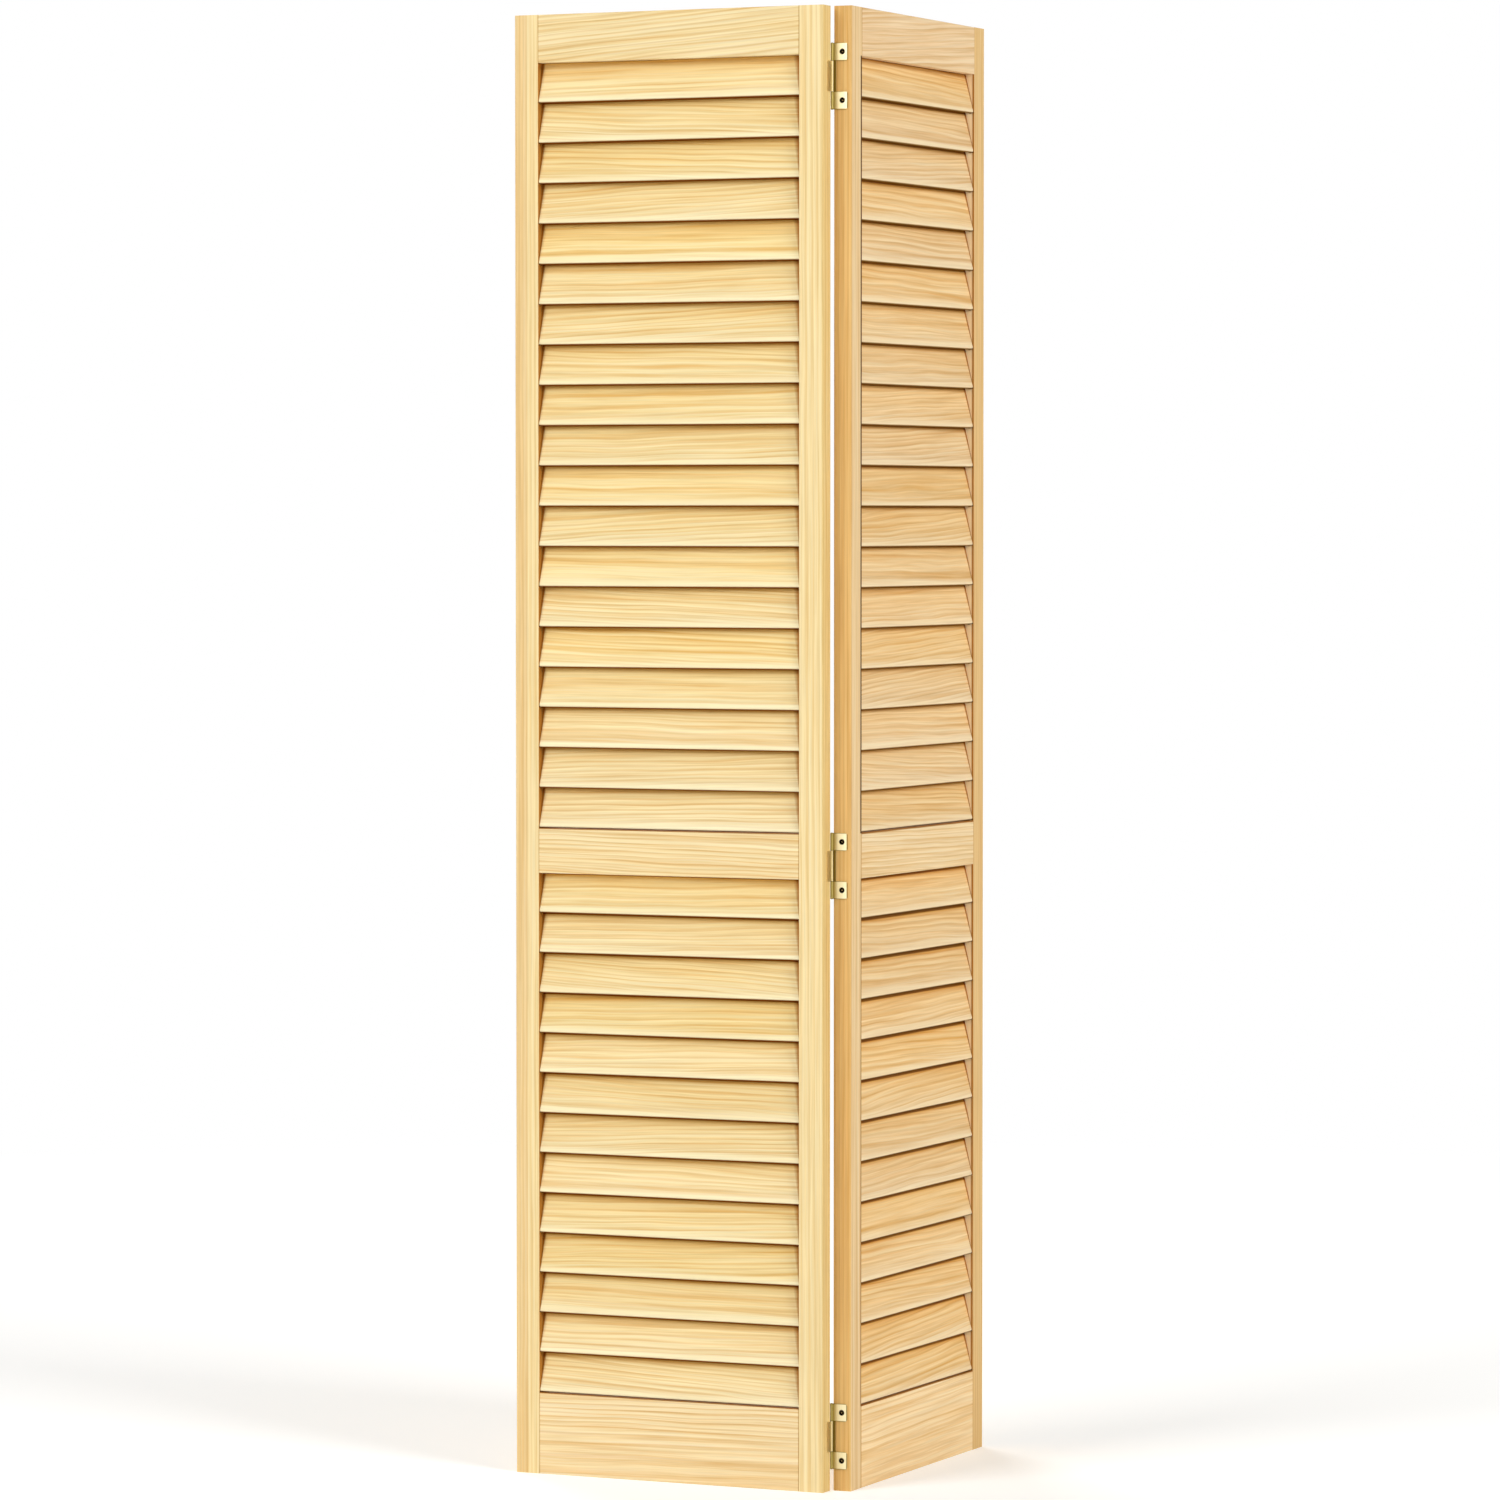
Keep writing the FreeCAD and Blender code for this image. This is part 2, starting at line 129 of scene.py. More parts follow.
def growth_rings(tree, board, spring, middle, summer):
    rings = add_node(tree, "ShaderNodeTexWave", {
        "Vector": board, "Scale": math.tau / (WAVE_RADIANS * RING_WIDTH), "Distortion": 6.5, "Detail": 3.0,
        "Detail Scale": 0.5, "Detail Roughness": 0.55}, wave_type="RINGS", rings_direction="X", wave_profile="SAW")
    year = add_node(tree, "ShaderNodeValToRGB", {"Fac": rings.outputs["Fac"]}, bands=(
        (0.0, spring), (0.5, middle), (0.82, summer), (1.0, spring)))
    return year.outputs["Color"]


print("rings", RING_WIDTH / MM, "mm wide, bends", BEND_ALONG / MM, "mm long")

# %% [markdown]
# Streaks of noise lie over the rings, and a finer noise is the fibre, which stirs colour, gloss and relief. Real fibres
# are finer than a pixel, so they are drawn 2 mm wide. The wood is sanded and hardly sealed, so its sheen is weak.

# %% Streaks, fibre and sheen
STREAK_WIDTH, FIBRE_WIDTH = 5 * MM, 2 * MM
STREAK_SHARE = 0.48
FIBRE_DARK, FIBRE_LIGHT = 0.94, 1.06
PINE_SMOOTH, PINE_ROUGH = 0.48, 0.68
FIBRE_RELIEF = 0.2 * MM
PINE_SHEEN = 0.08


def draw_pine(tree, shader, board, tones, bend):
    board = bend_grain(tree, board, bend)
    spring, middle, summer, pale = [linear(tone) for tone in tones]
    year = growth_rings(tree, board, spring, middle, summer)
    noise = add_node(tree, "ShaderNodeTexNoise", {
        "Vector": board, "Scale": 1 / STREAK_WIDTH, "Detail": 4.0, "Roughness": 0.62})
    streaks = add_node(tree, "ShaderNodeValToRGB", {"Fac": noise.outputs["Fac"]}, bands=(
        (0.36, summer), (0.5, middle), (0.64, pale)))
    figure = add_node(tree, "ShaderNodeMix", {
        MIX_FACTOR: STREAK_SHARE, MIX_FROM: year, MIX_TO: streaks.outputs["Color"]}, data_type="RGBA")
    fibre = add_node(tree, "ShaderNodeTexNoise", {
        "Vector": board, "Scale": 1 / FIBRE_WIDTH, "Detail": 2.0, "Roughness": 0.5})
    glint = add_node(tree, "ShaderNodeMapRange", {
        "Value": fibre.outputs["Fac"], "From Min": 0.3, "From Max": 0.7, "To Min": FIBRE_DARK, "To Max": FIBRE_LIGHT})
    tone = add_node(tree, "ShaderNodeHueSaturation", {
        "Color": figure.outputs[MIX_RESULT], "Value": glint.outputs["Result"]})
    gloss = add_node(tree, "ShaderNodeMapRange", {
        "Value": fibre.outputs["Fac"], "To Min": PINE_SMOOTH, "To Max": PINE_ROUGH})
    relief = add_node(tree, "ShaderNodeBump", {
        "Height": fibre.outputs["Fac"], "Strength": 0.25, "Distance": FIBRE_RELIEF})
    tree.links.new(gloss.outputs["Result"], shader.inputs["Roughness"])
    tree.links.new(relief.outputs["Normal"], shader.inputs["Normal"])
    shader.inputs["Specular IOR Level"].default_value = PINE_SHEEN
    return tone.outputs["Color"]


print("streaks", STREAK_WIDTH / MM, "mm wide, fibres", FIBRE_WIDTH / MM, "mm wide")

# %% [markdown]
# ## Stiles and rails
# The frame of each leaf is planed and sanded pine. Grain runs up the stiles and along the rails, so the object's
# coordinates are put in another order for each: along the board, across it, and into its depth. Every board gets its
# own place beside the heart, as if each came from another tree, and rails get a slope, because their grain runs out.

# %% Where a point lies in its board
ORDER = {"left_stile": "ZXY", "right_stile": "ZYX", "left_rail": "XZY", "right_rail": "YZX"}
HEARTS = {
    "outer_stile": (0.31, 0.055, 0.03), "hinge_stile": (0.73, 0.03, 0.05), "top_rail": (0.12, 0.05, 0.05),
    "mid_rail": (0.55, 0.06, 0.03), "bottom_rail": (0.94, 0.03, 0.06)}
LEAF_SHIFT = {"left": 0.0, "right": 0.4}
SLOPES = {"outer_stile": 0.0, "hinge_stile": 0.004, "top_rail": -0.07, "mid_rail": 0.02, "bottom_rail": -0.015}


def board_place(tree, leaf, board_name):
    order = ORDER[leaf + "_" + board_name.split("_")[1]]
    low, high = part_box(leaf + "_" + board_name)
    middle = (low + high) / 2
    away_along, away_across, away_deep = HEARTS[board_name]
    heart = (
        away_along + LEAF_SHIFT[leaf], away_across - middle["XYZ".index(order[1])],
        away_deep - middle["XYZ".index(order[2])])
    place = add_node(tree, "ShaderNodeTexCoord")
    parts = add_node(tree, "ShaderNodeSeparateXYZ", {"Vector": place.outputs["Object"]})
    along, across, deep = [parts.outputs[axis] for axis in order]
    run_out = add_node(tree, "ShaderNodeMath", {
        0: along, 1: SLOPES[board_name], 2: across}, operation="MULTIPLY_ADD")
    board = add_node(tree, "ShaderNodeCombineXYZ", {"X": along, "Y": run_out.outputs["Value"], "Z": deep})
    centred = add_node(tree, "ShaderNodeMapping", {
        "Vector": board.outputs["Vector"], "Location": heart, "Scale": (GRAIN_STRETCH, 1, 1)})
    return parts, centred.outputs["Vector"]


print("boards in the frame of a leaf:", len(HEARTS))

# %% [markdown]
# Some faces are toned, and some carry painted shade or painted light. The edges by the hinges are a deeper orange,
# partly the wood's tone and partly painted shade of the gap between the leaves. The insides of the left leaf's stiles
# are painted brown as painted shade round the slats. The left outer stile is glued up from two strips. On the right
# leaf painted shade gives only lines. One runs down the front of the inside of the outer stile, whose inside is painted
# pale as painted light. One runs down the hinge stile beside each bay of slats. Such a zone is where one or more ranges
# along the axes overlap. A darkening zone, for age or for painted shade, multiplies the colour, and a painted-light
# zone replaces it.

# %% Tint a zone
# A multiplying zone darkens for age or for painted shade. The mixing zone puts painted light in place of the colour.
AGE_AND_SHADE, PAINTED_LIGHT = "MULTIPLY", "MIX"


def tint_zone(tree, colour, blend, tint, *ranges):
    share = None
    for place, start, full in ranges:
        amount = add_node(tree, "ShaderNodeMapRange", {"Value": place, "From Min": start, "From Max": full})
        within = amount.outputs["Result"]
        if share is not None:
            within = add_node(tree, "ShaderNodeMath", {0: share, 1: within}, operation="MULTIPLY").outputs["Value"]
        share = within
    tinted = add_node(tree, "ShaderNodeMix", {
        MIX_FACTOR: share, MIX_FROM: colour, MIX_TO: linear(tint)}, data_type="RGBA", blend_type=blend)
    return tinted.outputs[MIX_RESULT]


print("kinds of zone:", AGE_AND_SHADE, PAINTED_LIGHT)

# %% Zones of the stiles
SKIN = 0.4 * MM
GLUED_STRIP, GLUE_FADE, STRIP_TINT = 18 * MM, 0.5 * MM, "#F6ECE2"
EVERYWHERE = ("Z", -2 * MM, -1 * MM)
# The edges by the hinges face each other across the gap between the leaves. Their deeper orange is partly the wood's
# tone and partly painted shade of that gap.
EDGE_FADE, LEFT_EDGE_TONE_AND_SHADE, RIGHT_EDGE_TONE_AND_SHADE = 2 * MM, "#F1EAD6", "#F4E6C4"
# The brown on the insides of the left leaf's stiles is painted shade round the slats.
LEFT_INSIDE_SHADE, RIGHT_INSIDE_LIGHT, RIGHT_OUTER_TINT = "#B88C50", "#FFE6B8", "#FAF2DE"
# A brown line of painted shade runs along the front of the right outer stile's inside and along the rails' ledges.
SHADE_LINE, SHADE_LINE_START, SHADE_LINE_FULL = "#B0854A", 4 * MM, 2.4 * MM

LEFT_OUTER, RIGHT_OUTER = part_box("left_outer_stile"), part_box("right_outer_stile")
LEFT_HINGE, RIGHT_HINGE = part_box("left_hinge_stile"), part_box("right_hinge_stile")
glue_line = LEFT_OUTER[0].x + GLUED_STRIP
right_inside = ("Y", RIGHT_OUTER[0].y + SKIN, RIGHT_OUTER[0].y + SKIN / 2)
zones = {
    "left_outer_stile": [
        (AGE_AND_SHADE, STRIP_TINT, ("X", glue_line + GLUE_FADE, glue_line - GLUE_FADE)),
        (AGE_AND_SHADE, LEFT_INSIDE_SHADE, ("X", LEFT_OUTER[1].x - SKIN, LEFT_OUTER[1].x - SKIN / 2))],
    "left_hinge_stile": [
        (AGE_AND_SHADE, LEFT_INSIDE_SHADE, ("X", LEFT_HINGE[0].x + SKIN, LEFT_HINGE[0].x + SKIN / 2)),
        (AGE_AND_SHADE, LEFT_EDGE_TONE_AND_SHADE, ("X", LEFT_HINGE[1].x - EDGE_FADE, LEFT_HINGE[1].x - SKIN))],
    "right_outer_stile": [
        (AGE_AND_SHADE, RIGHT_OUTER_TINT, EVERYWHERE),
        # The inside of the right outer stile is painted pale: painted light that makes its deep, shaded recess stand
        # out less.
        (PAINTED_LIGHT, RIGHT_INSIDE_LIGHT, right_inside),
        (AGE_AND_SHADE, SHADE_LINE, right_inside,
         ("X", RIGHT_OUTER[1].x - SHADE_LINE_START, RIGHT_OUTER[1].x - SHADE_LINE_FULL))],
    "right_hinge_stile": [
        (AGE_AND_SHADE, RIGHT_EDGE_TONE_AND_SHADE, ("Y", RIGHT_HINGE[0].y + EDGE_FADE, RIGHT_HINGE[0].y + SKIN))]}
print("stiles with zones:", list(zones))

# %% Painted shade lines beside the right leaf's bays
BAY_SHADE_LINES = (
    ("bottom_rail", "mid_rail", "#A07C46", 2.4 * MM),
    ("mid_rail", "top_rail", "#5E3E14", 4 * MM))
LINE_FADE, BAY_FADE = 0.8 * MM, 1 * MM
FRONT_START, FRONT_FULL = 4 * MM, 2 * MM

for rail_below, rail_above, tint, width in BAY_SHADE_LINES:
    bay_low, bay_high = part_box("right_" + rail_below)[1].z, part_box("right_" + rail_above)[0].z
    zones["right_hinge_stile"].append((
        AGE_AND_SHADE, tint, ("Y", RIGHT_HINGE[1].y - width - LINE_FADE, RIGHT_HINGE[1].y - width),
        ("X", RIGHT_HINGE[1].x - FRONT_START, RIGHT_HINGE[1].x - FRONT_FULL),
        ("Z", bay_low - BAY_FADE, bay_low), ("Z", bay_high + BAY_FADE, bay_high)))
    print("line beside the bay from", round(bay_low, 4), "to", round(bay_high, 4))

# %% [markdown]
# The joints between rails and stiles show as thin brown lines. A thin line of painted shade runs along the ledge where
# the lowest slat of a bay meets its rail.

# %% Zones of the rails
JOINT, JOINT_WIDTH = "#D2AE74", 0.9 * MM
# Painted shade along the top of a rail, under the lowest slat of its bay.
LEDGE_SHADES = {
    "left_mid_rail": 1.4 * MM, "left_bottom_rail": 1.2 * MM,
    "right_mid_rail": 2.4 * MM, "right_bottom_rail": 1.4 * MM}

for leaf, axis in (("left", "X"), ("right", "Y")):
    run = "XY".index(axis)
    for rail in ("top_rail", "mid_rail", "bottom_rail"):
        node = leaf + "_" + rail
        low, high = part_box(node)
        zones[node] = [
            (AGE_AND_SHADE, JOINT, (axis, low[run] + JOINT_WIDTH, low[run])),
            (AGE_AND_SHADE, JOINT, (axis, high[run] - JOINT_WIDTH, high[run]))]
        if node in LEDGE_SHADES:
            zones[node].append((AGE_AND_SHADE, SHADE_LINE, ("Z", high.z - LEDGE_SHADES[node], high.z - LEDGE_SHADES[node] / 2)))
print("boards with zones:", len(zones))

# %% [markdown]
# Each set of tones is spring wood, the wood between, summer wood and the palest streaks. The right leaf is warmer and
# darker than the left one, partly in its own tone and partly as painted shade for a leaf in weaker light. Some rails
# have a tone of their own. The grain bends more in rails than in stiles, which are picked for their straight grain.

# %% Pine for the stiles and rails
STILE_TONES = {
    "left": ("#F2DDAA", "#EFD7A0", "#E2C080", "#F4E2B4"), "right": ("#EACE9E", "#E6C592", "#D6AD74", "#EED6AA")}
RAIL_TONES = {
    "left": ("#F4DFAE", "#EED5A0", "#DBB06E", "#F7E6BE"), "right": ("#F2D8AC", "#ECCE9C", "#D7AB6C", "#F6E1BA"),
    "left_top_rail": ("#F0DCAA", "#EAD29C", "#D7AD6A", "#F3E3BA"),
    "left_bottom_rail": ("#F4DFB2", "#EFD6A4", "#DCB171", "#F7E6C2"),
    "right_top_rail": ("#EED2A9", "#E8C89B", "#D4A86D", "#F2DCB7"),
    "right_bottom_rail": ("#F9DDAE", "#F4D39E", "#DEB06E", "#FCE6BC")}
STILE_BEND, RAIL_BEND = 4 * MM, 9 * MM


def pine_board(leaf, board_name):
    node = leaf + "_" + board_name
    if board_name.endswith("stile"):
        tones, bend = STILE_TONES[leaf], STILE_BEND
    else:
        tones, bend = RAIL_TONES.get(node, RAIL_TONES[leaf]), RAIL_BEND
    finish, tree, shader = start_finish("clear_pine_" + node)
    parts, board = board_place(tree, leaf, board_name)
    colour = draw_pine(tree, shader, board, tones, bend)
    for blend, tint, *ranges in zones[node]:
        spots = [(parts.outputs[axis], start, full) for axis, start, full in ranges]
        colour = tint_zone(tree, colour, blend, tint, *spots)
    tree.links.new(colour, shader.inputs["Base Color"])
    put_on(node, finish)


for leaf in ("left", "right"):
    for board_name in HEARTS:
        pine_board(leaf, board_name)

# %% [markdown]
# ## Slats
# Each slat leans back, and in a frame turned by that lean the slats lie a fixed step apart in depth, so rounding the
# depth to that step numbers them. What is left over after the rounding tells the front face from the back one. Reach is
# how far a point lies from the nose, 0 at the nose and 1 at the tucked edge. The back face is read the other way round,
# so it has its nose at its own open edge.

# %% Where a point lies on its slat
SLAT_PITCH = 54.5 * MM
SLAT_LEAN = math.radians(13)
SLAT_HALF = 31.5 * MM
NOSE_RADIUS = 3.5 * MM


def lean_frame(tree, leaf, bay):
    order, back = {"left": ("XZY", 1), "right": ("YZX", -1)}[leaf]
    sine, cosine = math.sin(SLAT_LEAN), math.cos(SLAT_LEAN)
    low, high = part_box(leaf + "_" + bay + "_slats")
    nose = SLAT_HALF - NOSE_RADIUS
    first = low.z + NOSE_RADIUS + nose * cosine
    depth = (-low.y if leaf == "left" else high.x) - NOSE_RADIUS - nose * sine
    print(leaf, bay, "first slat at", round(first / MM, 2), "mm, slats", round(depth / MM, 2), "mm out")
    place = add_node(tree, "ShaderNodeTexCoord")
    parts = add_node(tree, "ShaderNodeSeparateXYZ", {"Vector": place.outputs["Object"]})
    upright = add_node(tree, "ShaderNodeCombineXYZ", {
        "X": parts.outputs[order[0]], "Y": parts.outputs[order[1]], "Z": parts.outputs[order[2]]})
    leaned = add_node(tree, "ShaderNodeMapping", {
        "Vector": upright.outputs["Vector"], "Rotation": (-SLAT_LEAN, 0, 0), "Scale": (1, 1, back),
        "Location": (0, depth * sine - first * cosine, depth * cosine + first * sine)})
    return add_node(tree, "ShaderNodeSeparateXYZ", {"Vector": leaned.outputs["Vector"]})


def slat_place(tree, leaf, bay):
    turned = lean_frame(tree, leaf, bay)
    steps = add_node(tree, "ShaderNodeMath", {
        0: turned.outputs["Z"], 1: -1 / (SLAT_PITCH * math.sin(SLAT_LEAN))}, operation="MULTIPLY")
    number = add_node(tree, "ShaderNodeMath", {0: steps.outputs["Value"]}, operation="ROUND")
    across = add_node(tree, "ShaderNodeMath", {
        0: number.outputs["Value"], 1: -SLAT_PITCH * math.cos(SLAT_LEAN), 2: turned.outputs["Y"]},
        operation="MULTIPLY_ADD")
    left_over = add_node(tree, "ShaderNodeMath", {
        0: steps.outputs["Value"], 1: number.outputs["Value"]}, operation="SUBTRACT")
    facing = add_node(tree, "ShaderNodeMath", {0: left_over.outputs["Value"]}, operation="SIGN")
    from_middle = add_node(tree, "ShaderNodeMath", {
        0: across.outputs["Value"], 1: facing.outputs["Value"]}, operation="MULTIPLY")
    reach = add_node(tree, "ShaderNodeMapRange", {
        "Value": from_middle.outputs["Value"], "From Min": -SLAT_HALF, "From Max": SLAT_HALF})
    return (
        turned.outputs["X"], across.outputs["Value"], number.outputs["Value"], reach.outputs["Result"],
        facing.outputs["Value"])


print("slats", 2 * SLAT_HALF / MM, "mm wide,", SLAT_PITCH / MM, "mm apart")

# %% [markdown]
# The slats are cut from many boards, so neighbours differ in tone and in how the grain runs. The slat's number feeds a
# white noise, which gives every slat a heart, a slope of the grain, a lightness and a warmth of its own.

# %% A board for every slat
# The right leaf's slat tones are warmer and darker too, partly as painted shade.
SLAT_TONES = {
    "left": ("#F3E2B4", "#EED9A6", "#DEB674", "#F6E8C0"), "right": ("#F2D8AC", "#ECCB9A", "#D9AB6C", "#F6E0B8")}
SLAT_BEND, SLAT_SLOPE = 10 * MM, 0.05
HEART_SPREAD, HEART_START = (3.0, 0.16, 0.05), (0.0, -0.08, 0.02)
SLAT_DARKEST, SLAT_LIGHTEST = 0.96, 1.02
SLAT_PALEST, SLAT_WARMEST = 0.94, 1.09


def slat_board(tree, shader, leaf, along, across, number, seed):
    draw = add_node(tree, "ShaderNodeMath", {0: number, 1: seed}, operation="ADD")
    chance = add_node(tree, "ShaderNodeTexWhiteNoise", {"W": draw.outputs["Value"]}, noise_dimensions="1D")
    chances = add_node(tree, "ShaderNodeSeparateColor", {"Color": chance.outputs["Color"]})
    slope = add_node(tree, "ShaderNodeMapRange", {
        "Value": chances.outputs["Green"], "To Min": -SLAT_SLOPE, "To Max": SLAT_SLOPE})
    run_out = add_node(tree, "ShaderNodeMath", {
        0: along, 1: slope.outputs["Result"], 2: across}, operation="MULTIPLY_ADD")
    flat = add_node(tree, "ShaderNodeCombineXYZ", {"X": along, "Y": run_out.outputs["Value"]})
    heart = add_node(tree, "ShaderNodeVectorMath", {
        0: chance.outputs["Color"], 1: HEART_SPREAD, 2: HEART_START}, operation="MULTIPLY_ADD")
    board = add_node(tree, "ShaderNodeVectorMath", {
        0: flat.outputs["Vector"], 1: (GRAIN_STRETCH, 1, 1), 2: heart.outputs["Vector"]}, operation="MULTIPLY_ADD")
    figure = draw_pine(tree, shader, board.outputs["Vector"], SLAT_TONES[leaf], SLAT_BEND)
    light = add_node(tree, "ShaderNodeMapRange", {
        "Value": chance.outputs["Value"], "To Min": SLAT_DARKEST, "To Max": SLAT_LIGHTEST})
    warmth = add_node(tree, "ShaderNodeMapRange", {
        "Value": chances.outputs["Blue"], "To Min": SLAT_PALEST, "To Max": SLAT_WARMEST})
    tinted = add_node(tree, "ShaderNodeHueSaturation", {
        "Color": figure, "Saturation": warmth.outputs["Result"], "Value": light.outputs["Result"]})
    return tinted.outputs["Color"]


print("slat lightness from", SLAT_DARKEST, "to", SLAT_LIGHTEST)

# %% [markdown]
# Both faces have a painted highlight, a paler tone, on the nose at one edge. The strip at the other edge is tucked
# behind the next slat and is painted a steep, dark brown as painted shade, and so is the underside of the nose. Faint
# tints across the open face are painted shade as well. These bands are measured by reach, those of the tucked strip
# from where it starts, which differs a little by bay.

# %% Painted shade and highlight across a slat
OPEN_SHADE = ((0.1, "#FFFFFF"), (0.2, "#FBF8F2"), (0.34, "#FFFBF2"), (0.55, "#FEF7E8"))
# Painted shade: a dark brown ramp on the strip tucked under the next slat.
TUCKED_SHADE = {
    "left": ((-0.1, "#FFF4DC"), (0.0, "#FAD896"), (0.022, "#9C5806"), (0.11, "#783C00")),
    "right": ((-0.07, "#FDF2DC"), (0.0, "#F0CE92"), (0.022, "#9A6E14"), (0.11, "#785806"))}
TUCKED_SHADE_FROM = {"left_upper": 0.846, "left_lower": 0.824, "right_upper": 0.836, "right_lower": 0.775}
# The pale tone on the nose is a painted highlight.
NOSE_HIGHLIGHT = {"left": "#FAF0C8", "right": "#F6E2BA"}
NOSE_START, NOSE_FULL, NOSE_SHARE = 0.16, 0.03, 0.7
UNDER_START, UNDER_FULL = 0.02, 0.006
# Painted shade on the underside of the nose.
UNDER_SHADE = {"left": "#8A5204", "right": "#886812"}


def shade_and_highlight_slat(tree, colour, leaf, bay, reach, facing):
    tucked = [(TUCKED_SHADE_FROM[leaf + "_" + bay] + spot, tint) for spot, tint in TUCKED_SHADE[leaf]]
    bands = [(spot, linear(tint)) for spot, tint in (*OPEN_SHADE, *tucked)]
    shade_ramp = add_node(tree, "ShaderNodeValToRGB", {"Fac": reach}, bands=bands)
    shaded = add_node(tree, "ShaderNodeMix", {
        MIX_FACTOR: 1.0, MIX_FROM: colour, MIX_TO: shade_ramp.outputs["Color"]}, data_type="RGBA", blend_type=AGE_AND_SHADE)
    highlight_share = add_node(tree, "ShaderNodeMapRange", {
        "Value": reach, "From Min": NOSE_START, "From Max": NOSE_FULL, "To Min": 0.0, "To Max": NOSE_SHARE})
    highlighted = add_node(tree, "ShaderNodeMix", {
        MIX_FACTOR: highlight_share.outputs["Result"], MIX_FROM: shaded.outputs[MIX_RESULT], MIX_TO: linear(NOSE_HIGHLIGHT[leaf])},
        data_type="RGBA")
    return tint_zone(
        tree, highlighted.outputs[MIX_RESULT], AGE_AND_SHADE, UNDER_SHADE[leaf], (reach, UNDER_START, UNDER_FULL), (facing, 0, 1))


print("bands of age on a slat:", len(OPEN_SHADE) + len(TUCKED_SHADE["left"]))

# %% [markdown]
# Painted shade also darkens the corners by the stiles, in a wedge that widens towards the tucked edge and is wider by
# the hinges. The widths are those at the low and the high end of the leaf's own axis.

# %% Painted shade in the corners
CORNER_WIDTH = {"left": (6 * MM, 17 * MM), "right": (17 * MM, 8 * MM)}
# The corner wedge is painted shade, strongest at the tucked edge.
CORNER_START, CORNER_FULL, CORNER_SHADE = 1.0, 0.45, "#B4853F"


def shade_corners(tree, colour, leaf, along, reach):
    run = 0 if leaf == "left" else 1
    start, end = [corner[run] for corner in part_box(leaf + "_mid_rail")]
    low_width, high_width = CORNER_WIDTH[leaf]
    offset = add_node(tree, "ShaderNodeMath", {0: along, 1: (start + end) / 2}, operation="SUBTRACT")
    from_centre = add_node(tree, "ShaderNodeMath", {0: offset.outputs["Value"]}, operation="ABSOLUTE")
    from_end = add_node(tree, "ShaderNodeMath", {
        0: (end - start) / 2, 1: from_centre.outputs["Value"]}, operation="SUBTRACT")
    width = add_node(tree, "ShaderNodeMapRange", {
        "Value": offset.outputs["Value"], "From Min": -MM, "From Max": MM, "To Min": low_width, "To Max": high_width})
    wedge = add_node(tree, "ShaderNodeMath", {0: reach, 1: width.outputs["Result"]}, operation="MULTIPLY")
    share = add_node(tree, "ShaderNodeMath", {
        0: from_end.outputs["Value"], 1: wedge.outputs["Value"]}, operation="DIVIDE")
    return tint_zone(tree, colour, AGE_AND_SHADE, CORNER_SHADE, (share.outputs["Value"], CORNER_START, CORNER_FULL))


print("corner widths in mm:", {leaf: [round(w / MM) for w in widths] for leaf, widths in CORNER_WIDTH.items()})

# %% Pine for the slats
BAYS = (("left", "upper"), ("left", "lower"), ("right", "upper"), ("right", "lower"))
FIRST_SEED, SEED_STEP = 11.0, 46.0


def pine_slats(leaf, bay, seed):
    finish, tree, shader = start_finish("clear_pine_slats_" + leaf + "_" + bay)
    along, across, number, reach, facing = slat_place(tree, leaf, bay)
    colour = slat_board(tree, shader, leaf, along, across, number, seed)
    colour = shade_and_highlight_slat(tree, colour, leaf, bay, reach, facing)
    colour = shade_corners(tree, colour, leaf, along, reach)
    tree.links.new(colour, shader.inputs["Base Color"])
    put_on(leaf + "_" + bay + "_slats", finish)


for count, (leaf, bay) in enumerate(BAYS):
    pine_slats(leaf, bay, FIRST_SEED + SEED_STEP * count)

# %% [markdown]
# ## Brass hinges
# The hinges are pressed from thin brass-plated steel strip with a satin surface. Painted shade darkens a thin rim round
# the tabs and the roots of the tabs by the knuckle. A dark ring is painted round each screw, which widens its dark dot.
# These zones are ranges measured from the plate's own box, from the pin's axis and from the screws.

# %% Painted shade on a plate's rims and knuckle, and dark rings round its screws
TAB_HEIGHT = 23.5 * MM
RIM = 0.9 * MM
KNUCKLE_RADIUS, KNUCKLE_FADE = 3 * MM, 6 * MM
HEAD_RADIUS = 3.2 * MM
RING_START, RING_FULL = HEAD_RADIUS + 0.9 * MM, HEAD_RADIUS + 0.5 * MM
OUTER_LINE, OUTER_SPREAD = 14.75 * MM, 32.25 * MM
# The rim and knuckle tints are painted shade. The ring tint is a dark ring painted round each screw.
RIM_SHADE, KNUCKLE_SHADE, RING_TINT = "#A89C6C", "#B8AE7C", "#2A2216"

pin_low, pin_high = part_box("top_hinge_pin")
pin_axis = (pin_low + pin_high) / 2
print("pin axis at", round(pin_axis.x, 5), round(pin_axis.y, 5))


